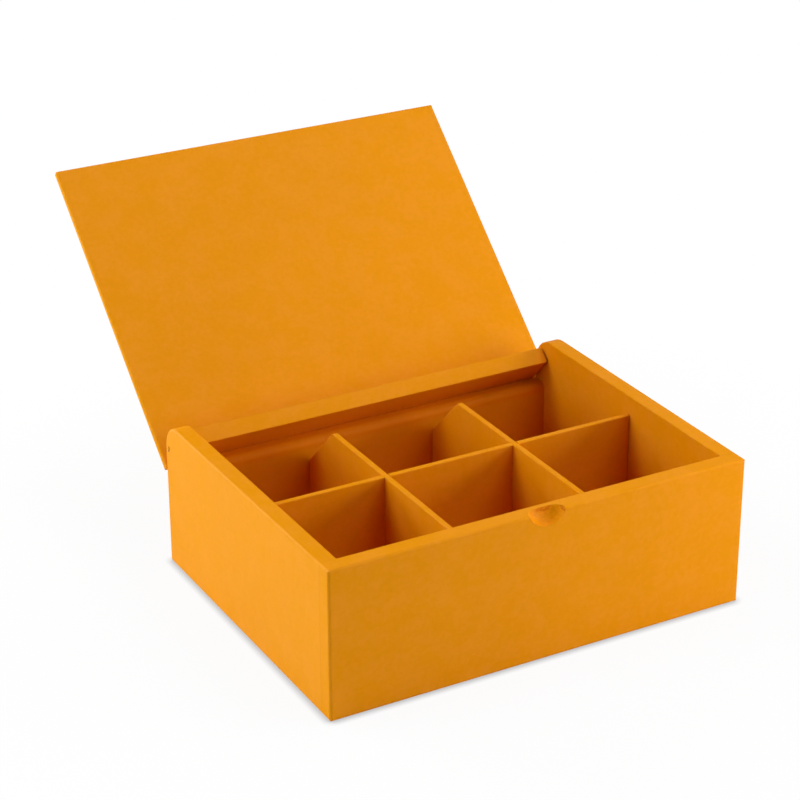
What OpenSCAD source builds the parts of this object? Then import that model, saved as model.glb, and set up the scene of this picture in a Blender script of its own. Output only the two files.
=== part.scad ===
// Tea bag organizer box: a painted wooden box with six bays and a lid on two hidden pins.
// Millimetres. X runs to the right, Y to the back, Z up. The origin is the middle of the underside.
// The lid is drawn open, leaning on its stop. A positive turn about +X at the pins closes it.

/* [Box] */
// Width of the box, outside
box_w = 240; // [200:1:320]
// Depth of the box, outside, front face to back face
box_d = 186; // [160:1:240]
// Height of the four walls, without the lid
box_h = 83; // [70:1:110]
// Thickness of the boards that the walls and the lid's rail are sawn from
board_t = 9.5; // [8:0.5:12]
// Radius that the outside arrises are sanded to
edge_r = 1.4; // [0.6:0.1:1.8]
// Radius of the arrises that look inwards, and of the lid's rail and its stop
inner_r = 0.5; // [0.3:0.1:1]
// Radius of the sides' rear top corners, which lets the lid swing past them
side_corner_r = 14; // [12:0.5:20]
// Radius of the back panel's inner top arris
back_top_r = 4; // [1:0.5:6]

/* [Base] */
// Thickness of the base panel
base_t = 4; // [3:0.5:6]
// Width of the rabbet under the walls that the base panel lies in
rabbet_w = 4.7; // [3:0.1:6]

/* [Lid] */
// Thickness of the lid panel
lid_t = 3.6; // [3:0.1:6]
// How far the lid's front edge stands back from the front face
lid_setback = 2; // [0:0.5:6]
// How far the closed lid's rear edge runs past the back face
lid_overhang = 0.8; // [0:0.1:1.2]
// Radius that the lid's arrises are sanded to
lid_r = 1.2; // [0.4:0.1:1.4]
// Height of the rail that hangs under the lid's rear edge
rail_h = 22; // [19:0.5:26]
// Free space between each end of the rail and the side next to it
rail_gap = 0.9; // [0.3:0.1:1.2]
// How far the lid opens from closed
open_angle = 137.8; // [125:0.2:145]
// Free space under the closed lid
seat_gap = 0.15; // [0.1:0.05:0.3]
// Free space between the rail and the back panel's edge at the open stop
stop_gap = 0.1; // [0.05:0.05:0.3]

/* [Hinge pins] */
// Diameter of the nail that each end of the rail turns on
pin_d = 1.6; // [1.4:0.1:3]
// Diameter of the nail's head
pin_head_d = 2.2; // [2.1:0.1:4]
// Thickness of the nail's head
pin_head_t = 0.8; // [0.5:0.1:1.2]
// How deep the head is set below the side's face
pin_sink = 0.4; // [0.2:0.1:0.8]
// How far the nail reaches into the rail
pin_reach = 12; // [8:1:18]
// Height from the pins' axis up to the top of the sides
pin_drop = 13.9; // [12:0.1:16]
// Running clearance round the nail in the rail
pin_clear = 0.05; // [0.03:0.01:0.08]

/* [Dividers] */
// Thickness of the divider boards
divider_t = 3.2; // [2.6:0.1:4]
// How far the dividers' top edges lie below the top of the walls
divider_drop = 10.6; // [6:0.1:16]
// Depth of the three front bays
front_bay_d = 81; // [70:1:90]
// Width of the two middle bays
middle_bay_w = 73.8; // [64:0.1:80]
// Length of the corner sawn off the top rear of the front-to-back dividers, each way
corner_cut = 27; // [18:1:34]
// Radius where that cut meets the divider's top edge
cut_r = 4; // [2:0.5:8]
// Radius that the dividers' top arrises are eased to
divider_r = 0.7; // [0.3:0.1:1]
// Free space between a divider's end and the wall
divider_gap = 0.5; // [0.3:0.1:0.8]
// Free space on each side of a board in the slot that it crosses in
lap_gap = 0.1; // [0.05:0.05:0.2]

/* [Finger scoop] */
// How far the scoop stands to the right of the middle
scoop_x = 1.5; // [-5:0.5:5]
// Radius of the cutter that carves the scoop, seen from the front
scoop_r = 11.2; // [8:0.1:14]
// How far the scoop reaches down the front face
scoop_drop = 7.6; // [6:0.1:9]
// How far the scoop reaches into the panel
scoop_depth = 6.3; // [5:0.1:7]

/* [Brads] */
// Diameter of the brads that pin the glued joints
brad_d = 1.2; // [1:0.1:1.6]
// Diameter of a brad's head
brad_head_d = 1.8; // [1.7:0.1:2.4]
// Thickness of a brad's head
brad_head_t = 0.5; // [0.3:0.1:0.8]
// How deep a brad is set, with filler and paint over it
brad_sink = 0.8; // [0.5:0.1:1.2]
// Length of the brads in the corner joints
corner_brad_l = 19; // [16:1:22]
// Length of the brads that hold the lid to its rail
rail_brad_l = 15; // [12:1:17]
// Length of the brads that hold the base
base_brad_l = 14; // [11:1:18]
// Distance from a board's edge to the first brad along a joint
brad_inset = 15; // [13:1:20]
// Brads that hold the lid to its rail
rail_brad_count = 5; // [3:1:7]
// Brads along the front and along the back of the base
base_brad_count = 4; // [3:1:6]
// Brads along each side of the base
base_side_brad_count = 3; // [2:1:4]

/* [Hidden] */
$fn = 64;

// Colours of the paint and of the nails
paint = [0.91, 0.58, 0.10];
divider_paint = [0.88, 0.53, 0.08];
steel = [0.62, 0.62, 0.64];

// Length that a cutter runs past the face it cuts
over = 2;

// Inside faces of the walls
inner_x = box_w / 2 - board_t;
inner_front = -box_d / 2 + board_t;
inner_back = box_d / 2 - board_t;
board_mid = board_t / 2;

// Hinge axis: in the middle of the rail, which is flush with the back face
hinge_y = box_d / 2 - board_mid;
hinge_z = box_h - pin_drop;
lid_seat_z = box_h + seat_gap;

// Top of the back panel: its eased rear arris is the edge that the turned rail leans on
stop_drop = (board_mid + stop_gap + inner_r - (board_mid - inner_r) * cos(open_angle))
            / sin(open_angle) - inner_r;
back_h = hinge_z - stop_drop;

// Base panel and the rabbet for it
base_w = box_w - 2 * (board_t - rabbet_w);
base_d = box_d - 2 * (board_t - rabbet_w);

// Dividers
divider_top = box_h - divider_drop;
lap_z = (base_t + divider_top) / 2;
slot_w = divider_t + 2 * lap_gap;
cross_y = inner_front + front_bay_d + divider_t / 2;
long_x = (middle_bay_w + divider_t) / 2;
long_front = inner_front + divider_gap;
long_back = inner_back - divider_gap;

// Scoop: height of the cutter's axis above the top of the front panel
scoop_axis_z = box_h + scoop_r - scoop_drop;

// Brads: heights up the corners, and places along the rail and the base
front_brad_z = [brad_inset, box_h / 2, box_h - brad_inset];
back_brad_z = [brad_inset, back_h - brad_inset];
rail_brad_span = inner_x - pin_reach - brad_inset;
base_brad_x = base_w / 2 - rabbet_w / 2;
base_brad_y = base_d / 2 - rabbet_w / 2;

// n places spread evenly from -reach to +reach
function spread(reach, n) = [for (i = [0:n - 1]) reach * (2 * i / (n - 1) - 1)];

// ---- shapes that repeat ----

// The waste outside a rounded corner that points to -x, -y from [0, 0]
module corner_waste(r) {
    difference() {
        translate([-over, -over]) square(r + over);
        translate([r, r]) circle(r);
    }
}

// A w by h rectangle from [-w/2, 0] whose corners have the radii
// [bottom left, bottom right, top right, top left], where 0 is square
module eased_rect(w, h, radii) {
    difference() {
        translate([-w / 2, 0]) square([w, h]);
        if (radii[0] > 0) translate([-w / 2, 0]) corner_waste(radii[0]);
        if (radii[1] > 0) translate([w / 2, 0]) rotate(90) corner_waste(radii[1]);
        if (radii[2] > 0) translate([w / 2, h]) rotate(180) corner_waste(radii[2]);
        if (radii[3] > 0) translate([-w / 2, h]) rotate(270) corner_waste(radii[3]);
    }
}

// Draws a section in X and Z and runs it along Y from y0 to y1
module along_y(y0, y1) {
    translate([0, y1, 0]) rotate([90, 0, 0]) linear_extrude(y1 - y0) children();
}

// Draws a section in Y and Z and runs it along X from x0 to x1
module along_x(x0, x1) {
    translate([x0, 0, 0]) rotate([90, 0, 90]) linear_extrude(x1 - x0) children();
}

// A board of w, d, h standing on z = 0 with all twelve arrises eased
module eased_board(w, d, h, r) {
    all_round = [r, r, r, r];
    intersection() {
        translate([0, -d / 2, 0]) linear_extrude(h) eased_rect(w, d, all_round);
        along_y(-d / 2, d / 2) eased_rect(w, h, all_round);
        along_x(-w / 2, w / 2) eased_rect(d, h, all_round);
    }
}

// A nail with its head's outer face at the origin, running along +Z
module nail(shank_d, head_d, head_t, length) {
    cylinder(d = head_d, h = head_t);
    cylinder(d = shank_d, h = length);
}

module brad(length) {
    nail(brad_d, brad_head_d, brad_head_t, length);
}

// Turns what is drawn closed to the open rest pose, about the pins
module opened() {
    translate([0, hinge_y, hinge_z])
        rotate([-open_angle, 0, 0])
            translate([0, -hinge_y, -hinge_z]) children();
}

// ---- fastenings ----

module front_brad_set() {
    for (side = [-1, 1], z = front_brad_z)
        translate([side * (box_w / 2 - board_mid), -box_d / 2 + brad_sink, z])
            rotate([-90, 0, 0]) brad(corner_brad_l);
}

module back_brad_set() {
    for (side = [-1, 1], z = back_brad_z)
        translate([side * (box_w / 2 - brad_sink), hinge_y, z])
            rotate([0, -side * 90, 0]) brad(corner_brad_l);
}

module base_brad_set() {
    for (side = [-1, 1]) {
        for (x = spread(base_w / 2 - 2 * brad_inset, base_brad_count))
            translate([x, side * base_brad_y, 0]) brad(base_brad_l);
        for (y = spread(base_d / 2 - 2 * brad_inset, base_side_brad_count))
            translate([side * base_brad_x, y, 0]) brad(base_brad_l);
    }
}

// Drawn closed
module lid_brad_set() {
    for (x = spread(rail_brad_span, rail_brad_count))
        translate([x, hinge_y, lid_seat_z + lid_t - brad_sink])
            rotate([180, 0, 0]) brad(rail_brad_l);
}

// The left pin, head outwards
module hinge_pin() {
    translate([-box_w / 2 + pin_sink, hinge_y, hinge_z])
        rotate([0, 90, 0])
            nail(pin_d, pin_head_d, pin_head_t, board_t - pin_sink + rail_gap + pin_reach);
}

// ---- the box ----

// What the base panel takes out of the walls
module base_rabbet() {
    translate([-base_w / 2, -base_d / 2, -over]) cube([base_w, base_d, base_t + over]);
}

// The bowl-shaped cut that a fingertip finds the lid's edge in
module scoop_cutter() {
    translate([scoop_x, -box_d / 2 + scoop_depth, scoop_axis_z])
        rotate([90, 0, 0])
            rotate_extrude() {
                square([scoop_r - scoop_depth, scoop_depth + over]);
                translate([0, scoop_depth]) square([scoop_r, over]);
                translate([scoop_r - scoop_depth, scoop_depth])
                    intersection() {
                        circle(scoop_depth);
                        translate([0, -scoop_depth]) square(scoop_depth);
                    }
            }
}

module front_panel() {
    color(paint)
    difference() {
        translate([0, -box_d / 2 + board_mid, 0])
            intersection() {
                translate([0, -board_mid, 0]) linear_extrude(box_h)
                    eased_rect(box_w, board_t, [edge_r, edge_r, 0, 0]);
                along_y(-board_mid, board_mid)
                    eased_rect(box_w, box_h, [edge_r, edge_r, edge_r, edge_r]);
                along_x(-box_w / 2, box_w / 2)
                    eased_rect(board_t, box_h, [edge_r, 0, 0, edge_r]);
            }
        // the inner top arris is eased between the sides only
        translate([0, inner_front, box_h]) along_x(-inner_x, inner_x)
            rotate(180) corner_waste(inner_r);
        base_rabbet();
        scoop_cutter();
        front_brad_set();
        base_brad_set();
    }
}

// The left side: a board whose rear top corner is rounded, with the arrises eased round it
module side_board() {
    y_end = box_d / 2;
    corner_y = y_end - side_corner_r;
    corner_z = box_h - side_corner_r;
    translate([-box_w / 2 + board_mid, 0, 0]) {
        along_y(inner_front, corner_y)
            eased_rect(board_t, box_h, [edge_r, 0, inner_r, edge_r]);
        // beside the back panel only the outer rear arris is eased, and above it both are
        intersection() {
            translate([0, corner_y, 0]) linear_extrude(back_h)
                eased_rect(board_t, side_corner_r, [0, 0, 0, edge_r]);
            along_y(corner_y, y_end) eased_rect(board_t, box_h, [edge_r, 0, 0, 0]);
            translate([0, corner_y, 0]) along_x(-board_mid, board_mid)
                eased_rect(2 * side_corner_r, box_h, [0, edge_r, 0, 0]);
        }
        translate([0, corner_y, back_h]) linear_extrude(corner_z - back_h)
            eased_rect(board_t, side_corner_r, [0, 0, inner_r, edge_r]);
        // the quarter round
        translate([0, corner_y, corner_z]) rotate([90, 0, 90])
            rotate_extrude(angle = 90)
                rotate(-90) eased_rect(board_t, side_corner_r, [0, 0, edge_r, inner_r]);
    }
}

module side_cuts() {
    base_rabbet();
    front_brad_set();
    back_brad_set();
    base_brad_set();
}

module left_side() {
    color(paint)
    difference() {
        side_board();
        side_cuts();
        hinge_pin();
        translate([-box_w / 2 - over, hinge_y, hinge_z])
            rotate([0, 90, 0]) cylinder(d = pin_head_d, h = over + pin_sink);
    }
}

module right_side() {
    color(paint)
    difference() {
        mirror([1, 0, 0]) side_board();
        side_cuts();
        mirror([1, 0, 0]) {
            hinge_pin();
            translate([-box_w / 2 - over, hinge_y, hinge_z])
                rotate([0, 90, 0]) cylinder(d = pin_head_d, h = over + pin_sink);
        }
    }
}

// Lower than the sides: its rear top arris is the lid's open stop
module back_panel() {
    color(paint)
    difference() {
        translate([0, hinge_y, 0]) along_x(-inner_x, inner_x)
            eased_rect(board_t, back_h, [0, edge_r, inner_r, back_top_r]);
        base_rabbet();
        back_brad_set();
        base_brad_set();
    }
}

module base_panel() {
    color(paint)
    difference() {
        translate([-base_w / 2, -base_d / 2, 0]) cube([base_w, base_d, base_t]);
        base_brad_set();
    }
}

// ---- the dividers, which lap where they cross ----

module cross_divider() {
    color(divider_paint)
    difference() {
        translate([0, cross_y, base_t]) along_x(divider_gap - inner_x, inner_x - divider_gap)
            eased_rect(divider_t, divider_top - base_t, [0, 0, divider_r, divider_r]);
        for (side = [-1, 1])
            translate([side * long_x - slot_w / 2, cross_y - divider_t, lap_z - lap_gap])
                cube([slot_w, 2 * divider_t, box_h]);
    }
}

// The outline of a front-to-back divider in Y and Z, with its rear top corner sawn off
module long_outline() {
    cut_y = long_back - corner_cut;
    // the cut's start, moved so that an arc of cut_r meets both edges
    arc_y = cut_y - cut_r * tan(22.5);
    difference() {
        translate([long_front, base_t]) square([long_back - long_front, divider_top - base_t]);
        translate([cut_y, divider_top]) rotate(-45)
            square([2 * corner_cut, corner_cut]);
        // the waste above the arc
        difference() {
            translate([arc_y, divider_top - cut_r * (1 - cos(45))])
                square([cut_r * sin(45), cut_r]);
            translate([arc_y, divider_top - cut_r]) circle(cut_r);
        }
    }
}

module long_divider(x) {
    color(divider_paint)
    difference() {
        intersection() {
            along_x(x - divider_t / 2, x + divider_t / 2) long_outline();
            translate([x, 0, base_t]) along_y(long_front, long_back)
                eased_rect(divider_t, divider_top - base_t, [0, 0, divider_r, divider_r]);
            // the same easing, laid along the sawn corner
            translate([x, long_back - corner_cut, divider_top]) rotate([-45, 0, 0])
                translate([0, 0, -2 * box_d]) along_y(-2 * box_d, 2 * box_d)
                    eased_rect(divider_t, 2 * box_d, [0, 0, divider_r, divider_r]);
        }
        translate([x - divider_t, cross_y - slot_w / 2, base_t - over])
            cube([2 * divider_t, slot_w, lap_z + lap_gap - base_t + over]);
    }
}

module left_divider() {
    long_divider(-long_x);
}

module right_divider() {
    long_divider(long_x);
}

// ---- the lid ----

module lid_panel() {
    lid_d = box_d - lid_setback + lid_overhang;
    color(paint)
    opened()
        difference() {
            translate([0, (lid_setback + lid_overhang) / 2, lid_seat_z])
                eased_board(box_w, lid_d, lid_t, lid_r);
            lid_brad_set();
        }
}

module lid_rail() {
    rail_end = inner_x - rail_gap;
    color(paint)
    opened()
        difference() {
            translate([0, hinge_y, lid_seat_z - rail_h]) intersection() {
                along_x(-rail_end, rail_end)
                    eased_rect(board_t, rail_h, [inner_r, inner_r, 0, 0]);
                // the ends' arrises are sanded too
                translate([0, -board_mid, 0]) linear_extrude(rail_h)
                    eased_rect(2 * rail_end, board_t, [edge_r, edge_r, edge_r, edge_r]);
            }
            for (side = [-1, 1])
                translate([side * (rail_end + over), hinge_y, hinge_z])
                    rotate([0, -side * 90, 0])
                        cylinder(d = pin_d + 2 * pin_clear, h = over + pin_reach + rail_gap);
            lid_brad_set();
        }
}

// ---- nails and brads ----

module left_hinge_pin() {
    color(steel) hinge_pin();
}

module right_hinge_pin() {
    color(steel) mirror([1, 0, 0]) hinge_pin();
}

module front_corner_brads() {
    color(steel) front_brad_set();
}

module back_corner_brads() {
    color(steel) back_brad_set();
}

module base_brads() {
    color(steel) base_brad_set();
}

module lid_brads() {
    color(steel) opened() lid_brad_set();
}

front_panel();
back_panel();
left_side();
right_side();
base_panel();
cross_divider();
left_divider();
right_divider();
lid_panel();
lid_rail();
left_hinge_pin();
right_hinge_pin();
front_corner_brads();
back_corner_brads();
base_brads();
lid_brads();
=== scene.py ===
"""A painted wooden tea box with six bays, its lid leaning open, on a white studio floor."""

import math

import bpy
from mathutils import Matrix, Vector


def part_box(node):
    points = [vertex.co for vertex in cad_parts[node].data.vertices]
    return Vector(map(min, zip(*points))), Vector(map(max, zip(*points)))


MM = 0.001
# How many rays each ambient occlusion node sends out
OCCLUSION_RAYS = 8
# The span that most of a noise's values lie in
NOISE_SPAN = (0.3, 0.7)

# ---- camera: a long lens, placed so that the box's edges fall where the photograph has them ----

CAMERA_AT = (-0.5744, -0.9834, 0.6401)
CAMERA_AZIMUTH = -28.980
CAMERA_ELEVATION = 25.137
CAMERA_ROLL = -0.165
LENS_MM = 110.14
SENSOR_MM = 36.0

# ---- light: place and size in metres, watts and colour of each soft lamp; all point at AIM ----

AIM = (0.0, 0.0, 0.06)
PLAIN, COOL = (1.0, 1.0, 1.0), (0.86, 1.0, 1.05)
LAMPS = {
    "rear_left": {"at": (-0.73, 1.27, 0.37), "size": 0.8, "watts": 15.8, "colour": COOL},
    "left": {"at": (-1.47, 0.0, 0.37), "size": 0.8, "watts": 9.3, "colour": COOL},
    "rear_left_high": {"at": (-0.92, 0.53, 1.12), "size": 0.8, "watts": 8.8, "colour": PLAIN},
    "front_high": {"at": (0.53, -0.92, 1.12), "size": 0.8, "watts": 4.5, "colour": PLAIN},
    "top_right": {"at": (0.51, 0.0, 1.47), "size": 0.8, "watts": 8.7, "colour": PLAIN},
    "right": {"at": (0.62, -0.42, 0.22), "size": 0.4, "watts": 3.55, "colour": PLAIN},
    "front_right": {"at": (0.45, -0.75, 0.2), "size": 0.4, "watts": 0.9, "colour": PLAIN},
}
# The world is white where it is seen, but the lamps alone give light
WORLD_LIGHT, WORLD_SEEN = 0.0, 1.0

# ---- floor ----

FLOOR_SIZE = 8.0
FLOOR_COLOUR = 0.8
# Share of the floor's own white beside the box and further out, and where it changes, in metres
FLOOR_GLOW = (0.93, 1.0)
FLOOR_GLOW_AT = (0.18, 0.36)
# The shadow in the crease under the box's foot: its width, how dark it is, and the openness that it spans
CREASE_MM = 4.5
CREASE_DARK = 0.6
CREASE_OPEN = (0.5, 1.0)

# ---- paint: satin saffron over sanded wood ----

PAINT = (0.77, 0.27, 0.0)
PAINT_WARM = (0.775, 0.272, 0.008)
# The scoop's lighter colour is painted light on its right side
SCOOP_PAINTED_LIGHT = (0.92, 0.33, 0.0)
# The back panel's darker, redder colour under the rail is painted shade
RAIL_PAINTED_SHADE = (0.79, 0.198, 0.0)
TORN = (0.6, 0.13, 0.0)
CHIPPED = (0.09, 0.02, 0.0)
# Specular level of the paint, where 0.5 is a gloss
SHEEN = 0.05
# Roughness, how far it wavers, and how much rougher end grain is
ROUGH, ROUGH_WAVER, ROUGH_END_GRAIN = 0.5, 0.04, 0.12
# The sum of cloud and mottle over which the warmer paint comes in
WARM_OVER = (0.85, 1.15)

# Sizes of the paint's markings, as noise scales per metre
BLOTCH, CLOUD, MOTTLE, SPECK, FIBRE, STIPPLE = 14.0, 75.0, 330.0, 520.0, 1400.0, 2600.0
# How far each makes the tone waver, and how much darker end grain is
BLOTCH_TONE, MOTTLE_TONE, CLOUD_TONE, FIBRE_TONE = 0.015, 0.02, 0.012, 0.012
END_GRAIN_TONE = 0.02
# Dust specks under the paint: the noise above which one shows, and how strongly it does
SPECK_ABOVE, SPECK_TONE = (0.76, 0.8), 0.12
# How much longer a fibre is than it is wide
FIBRE_STRETCH = 14.0
# The relief: its height and strength, each marking's share, and how much more end grain has
BUMP_MM, BUMP_STRENGTH = 0.05, 0.4
FIBRE_RELIEF, STIPPLE_RELIEF, MOTTLE_RELIEF, END_GRAIN_RELIEF = 0.55, 0.2, 0.5, 1.2

# Boards whose grain runs front to back; every other board's runs side to side
GRAIN_ALONG_Y = ("left_side", "right_side", "left_divider", "right_divider")
# How far a face has to look along the fibres to be end grain
END_GRAIN = (0.8, 0.98)
# How far from an arris its paint is rubbed and its painted highlight and shade reach, the openness inside
# the board that this spans, and the mottle that breaks it up
ARRIS_MM = 0.75
ARRIS_OPEN = (0.99, 0.9)
ARRIS_MOTTLE = (0.3, 0.65)
# Thin boards, whose rubbed arrises come out lighter with a painted highlight; the walls' are painted
# darker, as shade
THIN_BOARDS = ("cross_divider", "left_divider", "right_divider", "lid_panel", "base_panel")
ARRIS_WEAR_AND_HIGHLIGHT, ARRIS_PAINTED_SHADE = 0.03, -0.07

# ---- marks of use and making, and painted light and shade, in millimetres, placed from the CAD pieces' faces ----

# The carved scoop: its middle in X, its cutter's axis above the front panel's top, and that cutter's radius
SCOOP_X, SCOOP_UP, SCOOP_R = 1.5, 3.6, 11.3
# Where its carved surface lies: behind the front face, and below the top
SCOOP_BEHIND, SCOOP_BELOW = (0.2, 6.6), 0.1
# Where the scoop is painted lighter, as painted light, across it from its middle, and how strongly at each
# end
SCOOP_LIGHT_X, SCOOP_LIGHT_SHARE = (-3.0, 3.0), (0.0, 0.95)
# Its cut fibres: their noise scale, how much longer they are than wide, and how dark
STRAND, STRAND_STRETCH, STRAND_DARK = 1100.0, 2.5, 0.4
# Where fibres are torn out of it: each patch's middle, across the scoop and below the front panel's top,
# and half its width and height
TEARS = ((0.6, 1.0, 4.6, 1.8), (9.7, 1.1, 0.8, 1.2))
# Each patch's soft rim, as shares of its size; the strands that are torn, and how strongly they show
TEAR_RIM, TEAR_STRANDS, TEAR_SHARE = (1.1, 0.7), (0.38, 0.58), (0.3, 0.9)

# Painted shade under the rail on the back panel's rounded inner arris: where it starts and is full below
# the panel's top, and how strongly
RAIL_SHADE_BELOW, RAIL_SHADE_SHARE = (7.0, 3.0), 0.6

# The chip in the paint at the left hinge nail: its middle in Y and Z from the nail's, its radius, the
# share of it where its soft rim starts, and its ragged outline
CHIP_OFF, CHIP_R, CHIP_RIM = (0.85, -1.7), 0.75, 0.7
CHIP_NOISE, CHIP_WAVER = 1500.0, 0.15
# How far in from the sides' faces the nails are painted
NAIL_PAINTED = 1.1

# ---- steel: bright drawn wire, with dull patches and fine marks ----

STEEL = (0.62, 0.62, 0.64)
STEEL_DULL = (0.434, 0.434, 0.448)
STEEL_MARKS, STEEL_PATCHES = 4000.0, 700.0
# The patches' noise over which the wire turns dull
STEEL_DULL_OVER = (0.4, 0.7)
STEEL_ROUGH = (0.25, 0.42)
STEEL_BUMP_MM, STEEL_BUMP_STRENGTH = 0.01, 0.3


class Nodes:
    """A small helper that adds nodes to a node tree and links them."""

    def __init__(self, tree):
        self.tree = tree

    def add(self, kind, **settings):
        node = self.tree.nodes.new("ShaderNode" + kind)
        for name, value in settings.items():
            setattr(node, name, value)
        return node

    def link(self, source, target):
        self.tree.links.new(source, target)

    def feed(self, value, socket):
        """Sets a socket to a number or a colour, or links it to another node's output."""
        if isinstance(value, (int, float)):
            socket.default_value = value
        elif isinstance(value, tuple):
            socket.default_value = (*value, 1.0)
        else:
            self.link(value, socket)

    def here(self):
        return self.add("TexCoord").outputs["Object"]

    def split(self, vector):
        node = self.add("SeparateXYZ")
        self.link(vector, node.inputs[0])
        return node.outputs

    def stretched(self, vector, scale):
        node = self.add("Mapping")
        node.inputs["Scale"].default_value = scale
        self.link(vector, node.inputs["Vector"])
        return node.outputs[0]

    def math(self, operation, a, b=None, clamp=False):
        node = self.add("Math", operation=operation, use_clamp=clamp)
        self.feed(a, node.inputs[0])
        if b is not None:
            self.feed(b, node.inputs[1])
        return node.outputs[0]

    def distance(self, a, b):
        squares = self.math("ADD", self.math("MULTIPLY", a, a), self.math("MULTIPLY", b, b))
        return self.math("SQRT", squares)

    def noise(self, vector, scale, detail=2.0, roughness=0.5):
        node = self.add("TexNoise")
        self.link(vector, node.inputs["Vector"])
        self.feed(scale, node.inputs["Scale"])
        self.feed(detail, node.inputs["Detail"])
        self.feed(roughness, node.inputs["Roughness"])
        return node.outputs["Fac"]

    def spread(self, value, low, high, to_low=0.0, to_high=1.0):
        node = self.add("MapRange")
        self.link(value, node.inputs["Value"])
        self.feed(low, node.inputs["From Min"])
        self.feed(high, node.inputs["From Max"])
        self.feed(to_low, node.inputs["To Min"])
        self.feed(to_high, node.inputs["To Max"])
        return node.outputs[0]

    def waver(self, noise, by, around=0.0):
        """Turns a noise into a value that wavers by so much either way."""
        return self.spread(noise, *NOISE_SPAN, around - by, around + by)

    def mix(self, factor, a, b, blend="MIX"):
        """Mixes colours, whose sockets come after those for numbers and vectors."""
        node = self.add("Mix", data_type="RGBA", blend_type=blend)
        for value, index in ((factor, 0), (a, 6), (b, 7)):
            self.feed(value, node.inputs[index])
        return node.outputs[2]

    def mix_shaders(self, factor, a, b):
        node = self.add("MixShader")
        for index, source in enumerate((factor, a, b)):
            self.link(source, node.inputs[index])
        return node.outputs[0]

    def occlusion(self, reach_mm, **settings):
        node = self.add("AmbientOcclusion", samples=OCCLUSION_RAYS, **settings)
        node.inputs["Distance"].default_value = reach_mm * MM
        return node.outputs["AO"]

    def bump(self, height, height_mm, strength):
        node = self.add("Bump")
        node.inputs["Strength"].default_value = strength
        node.inputs["Distance"].default_value = height_mm * MM
        self.link(height, node.inputs["Height"])
        return node.outputs[0]

    def seen_directly(self):
        """1 for camera, glossy and transmission rays, and 0 for the rays that carry diffuse light."""
        path = self.add("LightPath").outputs
        either = self.math("MAXIMUM", path["Is Camera Ray"], path["Is Glossy Ray"])
        return self.math("MAXIMUM", either, path["Is Transmission Ray"])


def clear_nodes(owner):
    """Gives a new material or world an empty node tree."""
    owner.use_nodes = True
    owner.node_tree.nodes.clear()
    return Nodes(owner.node_tree)


def make_camera():
    azimuth, elevation = math.radians(CAMERA_AZIMUTH), math.radians(CAMERA_ELEVATION)
    back = Vector((
        math.sin(azimuth) * math.cos(elevation),
        -math.cos(azimuth) * math.cos(elevation),
        math.sin(elevation),
    ))
    right = Vector((math.cos(azimuth), math.sin(azimuth), 0))
    turn = Matrix((right, back.cross(right), back)).transposed()
    turn = turn @ Matrix.Rotation(math.radians(CAMERA_ROLL), 3, "Z")
    data = bpy.data.cameras.new("camera")
    data.lens, data.sensor_width = LENS_MM, SENSOR_MM
    camera = bpy.data.objects.new("camera", data)
    camera.matrix_world = Matrix.Translation(CAMERA_AT) @ turn.to_4x4()
    bpy.context.scene.collection.objects.link(camera)
    bpy.context.scene.camera = camera


def make_lamps():
    for name, lamp in LAMPS.items():
        data = bpy.data.lights.new(name, "AREA")
        data.shape, data.size = "SQUARE", lamp["size"]
        data.energy, data.color = lamp["watts"], lamp["colour"]
        obj = bpy.data.objects.new(name, data)
        at = Vector(lamp["at"])
        obj.location = at
        obj.rotation_euler = (Vector(AIM) - at).to_track_quat("-Z", "Y").to_euler()
        # seen from another side, no lamp hides the box
        obj.visible_camera = False
        bpy.context.scene.collection.objects.link(obj)


def make_world():
    world = bpy.data.worlds.new("studio")
    bpy.context.scene.world = world
    n = clear_nodes(world)
    white = []
    for strength in (WORLD_LIGHT, WORLD_SEEN):
        background = n.add("Background")
        background.inputs["Color"].default_value = (1, 1, 1, 1)
        background.inputs["Strength"].default_value = strength
        white.append(background.outputs[0])
    out = n.add("OutputWorld")
    n.link(n.mix_shaders(n.seen_directly(), *white), out.inputs[0])


def make_floor():
    """White where nothing shades it: part of what the camera sees of it is its own plain white."""
    bpy.ops.mesh.primitive_plane_add(size=FLOOR_SIZE)
    floor = bpy.context.object
    floor.name = "floor"
    material = bpy.data.materials.new("floor")
    n = clear_nodes(material)
    away = n.add("VectorMath", operation="LENGTH")
    n.link(n.here(), away.inputs[0])
    share = n.spread(away.outputs["Value"], *FLOOR_GLOW_AT, *FLOOR_GLOW)
    diffuse = n.add("BsdfDiffuse")
    diffuse.inputs["Color"].default_value = (FLOOR_COLOUR, FLOOR_COLOUR, FLOOR_COLOUR, 1)
    glow = n.add("Emission")
    open_floor = n.spread(n.occlusion(CREASE_MM), *CREASE_OPEN, CREASE_DARK, 1.0)
    n.link(open_floor, glow.inputs["Strength"])
    seen_share = n.math("MULTIPLY", n.seen_directly(), share)
    out = n.add("OutputMaterial")
    n.link(n.mix_shaders(seen_share, diffuse.outputs[0], glow.outputs[0]), out.inputs[0])
    floor.data.materials.append(material)


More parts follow.
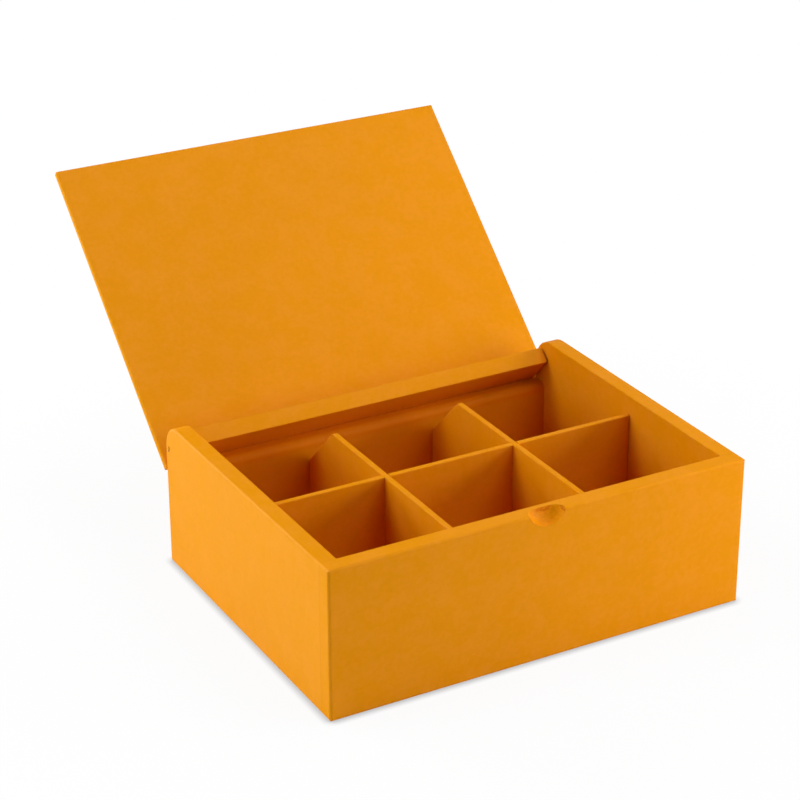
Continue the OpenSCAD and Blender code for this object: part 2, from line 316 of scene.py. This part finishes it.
def paint_material(name, along_y, arris_wear_and_light, marks=None):
    """Brushed satin paint: faint mottle, raised fibres along the grain, and rubbed arrises, with a painted
    highlight on thin boards and painted shade on the walls.
    """
    material = bpy.data.materials.new(name)
    n = clear_nodes(material)
    here = n.here()
    shrink = 1.0 / FIBRE_STRETCH
    along = n.stretched(here, (1.0, shrink, 1.0) if along_y else (shrink, 1.0, 1.0))

    blotch = n.noise(here, BLOTCH)
    cloud = n.noise(here, CLOUD)
    mottle = n.noise(here, MOTTLE, 3.0, 0.6)
    fibre = n.noise(along, FIBRE, 4.0, 0.65)
    stipple = n.noise(here, STIPPLE)

    # End grain: the faces that look along the fibres drink more paint and stay rougher
    facing = n.split(n.add("NewGeometry").outputs["Normal"])
    end_grain = n.spread(n.math("ABSOLUTE", facing["Y" if along_y else "X"]), *END_GRAIN)

    # Arrises: where the board is thin under the surface, as it is at an outward edge alone
    arris = n.spread(n.occlusion(ARRIS_MM, inside=True, only_local=True), *ARRIS_OPEN)
    worn_and_edge_light = n.math("MULTIPLY", arris, n.spread(mottle, *ARRIS_MOTTLE), clamp=True)

    tone = n.waver(blotch, BLOTCH_TONE, 1.0)
    for noise, by in ((mottle, MOTTLE_TONE), (cloud, CLOUD_TONE), (fibre, FIBRE_TONE)):
        tone = n.math("ADD", tone, n.waver(noise, by))
    tone = n.math("SUBTRACT", tone, n.math("MULTIPLY", end_grain, END_GRAIN_TONE))
    # arrises: rubbed paint, with a painted highlight on thin boards and painted shade on the walls
    tone = n.math("ADD", tone, n.math("MULTIPLY", worn_and_edge_light, arris_wear_and_light))
    shade = n.add("CombineColor")
    for channel in shade.inputs:
        n.link(tone, channel)
    colour = n.mix(n.spread(n.math("ADD", cloud, mottle), *WARM_OVER), PAINT, PAINT_WARM)
    colour = n.mix(1.0, colour, shade.outputs[0], "MULTIPLY")
    specks = n.spread(n.noise(here, SPECK, 1.0, 0.4), *SPECK_ABOVE)
    colour = n.mix(n.math("MULTIPLY", specks, SPECK_TONE), colour, TORN)
    # marks of use and making, with painted light and shade on some pieces
    if marks:
        colour = marks(n, here, colour)

    height = n.math("MULTIPLY", fibre, FIBRE_RELIEF)
    for noise, share in ((stipple, STIPPLE_RELIEF), (mottle, MOTTLE_RELIEF)):
        height = n.math("ADD", height, n.math("MULTIPLY", noise, share))
    raised = n.math("ADD", n.math("MULTIPLY", end_grain, END_GRAIN_RELIEF), 1.0)
    height = n.math("MULTIPLY", height, raised)

    rough = n.waver(mottle, ROUGH_WAVER, ROUGH)
    rough = n.math("ADD", rough, n.math("MULTIPLY", end_grain, ROUGH_END_GRAIN))
    bsdf = n.add("BsdfPrincipled")
    bsdf.inputs["Specular IOR Level"].default_value = SHEEN
    n.link(colour, bsdf.inputs["Base Color"])
    n.link(rough, bsdf.inputs["Roughness"])
    n.link(n.bump(height, BUMP_MM, BUMP_STRENGTH), bsdf.inputs["Normal"])
    out = n.add("OutputMaterial")
    n.link(bsdf.outputs[0], out.inputs[0])
    return material


def scoop_marks_and_light(n, here, colour):
    """Painted light makes the scoop's right side lighter; its cut fibres show darker, and some are torn out
    under its upper edge.
    """
    low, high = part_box("front_panel")
    at = n.split(here)
    across = n.math("SUBTRACT", at["X"], SCOOP_X * MM)
    up = n.math("SUBTRACT", at["Z"], high.z + SCOOP_UP * MM)
    carved = n.math("LESS_THAN", n.distance(across, up), SCOOP_R * MM)
    for operation, axis, bound in (
        ("GREATER_THAN", "Y", low.y + SCOOP_BEHIND[0] * MM),
        ("LESS_THAN", "Y", low.y + SCOOP_BEHIND[1] * MM),
        ("LESS_THAN", "Z", high.z - SCOOP_BELOW * MM),
    ):
        carved = n.math("MULTIPLY", carved, n.math(operation, at[axis], bound))
    # painted light: a lighter colour comes in towards the scoop's right side
    painted_light = n.spread(across, SCOOP_LIGHT_X[0] * MM, SCOOP_LIGHT_X[1] * MM, *SCOOP_LIGHT_SHARE)
    colour = n.mix(n.math("MULTIPLY", carved, painted_light), colour, SCOOP_PAINTED_LIGHT)
    strands = n.noise(n.stretched(here, (1.0 / STRAND_STRETCH, 1.0, 1.0)), STRAND, 3.0, 0.6)
    dark = n.spread(strands, *NOISE_SPAN, 0.0, STRAND_DARK)
    colour = n.mix(n.math("MULTIPLY", carved, dark), colour, TORN)
    for x, below, half_width, half_height in TEARS:
        off_x = n.math("DIVIDE", n.math("SUBTRACT", across, x * MM), half_width * MM)
        off_z = n.math("DIVIDE", n.math("SUBTRACT", at["Z"], high.z - below * MM), half_height * MM)
        patch = n.math("MULTIPLY", carved, n.spread(n.distance(off_x, off_z), *TEAR_RIM))
        torn = n.math("MULTIPLY", patch, n.spread(strands, *TEAR_STRANDS, *TEAR_SHARE))
        colour = n.mix(torn, colour, TORN)
    return colour


def painted_rail_shade(n, here, colour):
    """Painted shade: the back panel's rounded arris is darker and redder where the rail shades it."""
    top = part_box("back_panel")[1].z
    start, full = (top - below * MM for below in RAIL_SHADE_BELOW)
    # painted shade, growing towards the back panel's top
    return n.mix(n.spread(n.split(here)["Z"], start, full, 0.0, RAIL_SHADE_SHARE), colour, RAIL_PAINTED_SHADE)


def painted_nail_x():
    """How far out in X the nails start to be painted."""
    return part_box("right_side")[1].x - NAIL_PAINTED * MM


def chip_marks(n, here, colour):
    """One chip in the paint at the edge of the left hinge nail's head."""
    low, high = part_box("left_hinge_pin")
    nail = (low + high) / 2
    at = n.split(here)
    off_y = n.math("SUBTRACT", at["Y"], nail.y + CHIP_OFF[0] * MM)
    off_z = n.math("SUBTRACT", at["Z"], nail.z + CHIP_OFF[1] * MM)
    ragged = n.waver(n.noise(here, CHIP_NOISE), CHIP_WAVER, 1.0)
    ragged = n.math("MULTIPLY", n.distance(off_y, off_z), ragged)
    chip = n.spread(ragged, CHIP_R * MM, CHIP_RIM * CHIP_R * MM)
    chip = n.math("MULTIPLY", chip, n.math("LESS_THAN", at["X"], -painted_nail_x()))
    return n.mix(chip, colour, CHIPPED)


def steel_material(name):
    """Bright drawn wire, with fine marks and dull patches."""
    material = bpy.data.materials.new(name)
    n = clear_nodes(material)
    here = n.here()
    marks = n.noise(here, STEEL_MARKS, 3.0)
    dull = n.spread(n.noise(here, STEEL_PATCHES), *STEEL_DULL_OVER)
    bsdf = n.add("BsdfPrincipled", name="steel")
    bsdf.inputs["Metallic"].default_value = 1.0
    n.link(n.mix(dull, STEEL, STEEL_DULL), bsdf.inputs["Base Color"])
    n.link(n.spread(marks, *NOISE_SPAN, *STEEL_ROUGH), bsdf.inputs["Roughness"])
    n.link(n.bump(marks, STEEL_BUMP_MM, STEEL_BUMP_STRENGTH), bsdf.inputs["Normal"])
    out = n.add("OutputMaterial", name="out")
    n.link(bsdf.outputs[0], out.inputs[0])
    return material


def nail_material():
    """Bright drawn wire inside, and a head that is painted over."""
    material = steel_material("hinge_nail")
    n = Nodes(material.node_tree)
    here = n.here()
    head = n.math("GREATER_THAN", n.math("ABSOLUTE", n.split(here)["X"]), painted_nail_x())
    painted = n.add("BsdfPrincipled")
    painted.inputs["Specular IOR Level"].default_value = SHEEN
    painted.inputs["Roughness"].default_value = ROUGH
    paint = n.mix(n.spread(n.noise(here, MOTTLE), *NOISE_SPAN), PAINT, PAINT_WARM)
    n.link(chip_marks(n, here, paint), painted.inputs["Base Color"])
    steel = n.tree.nodes["steel"].outputs[0]
    n.link(n.mix_shaders(head, steel, painted.outputs[0]), n.tree.nodes["out"].inputs[0])
    return material


MARKS_AND_PAINTED_LIGHT = {"front_panel": scoop_marks_and_light, "back_panel": painted_rail_shade, "left_side": chip_marks}


def dress(nodes):
    brad, nail = steel_material("drawn_steel"), nail_material()
    for name, obj in nodes.items():
        if name.endswith("_brads"):
            material = brad
        elif name.endswith("_hinge_pin"):
            material = nail
        else:
            arris_wear_and_light = ARRIS_WEAR_AND_HIGHLIGHT if name in THIN_BOARDS else ARRIS_PAINTED_SHADE
            material = paint_material(name + "_paint", name in GRAIN_ALONG_Y, arris_wear_and_light, MARKS_AND_PAINTED_LIGHT.get(name))
        obj.data.materials.clear()
        obj.data.materials.append(material)


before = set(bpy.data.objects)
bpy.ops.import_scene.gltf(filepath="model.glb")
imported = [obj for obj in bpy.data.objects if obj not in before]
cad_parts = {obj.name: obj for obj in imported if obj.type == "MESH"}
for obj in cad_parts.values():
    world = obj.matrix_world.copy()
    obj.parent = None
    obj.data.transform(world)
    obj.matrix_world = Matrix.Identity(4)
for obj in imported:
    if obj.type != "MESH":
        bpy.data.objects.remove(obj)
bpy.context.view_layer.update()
bpy.context.scene.view_settings.view_transform = "Standard"
make_camera()
make_lamps()
make_world()
make_floor()
dress(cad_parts)
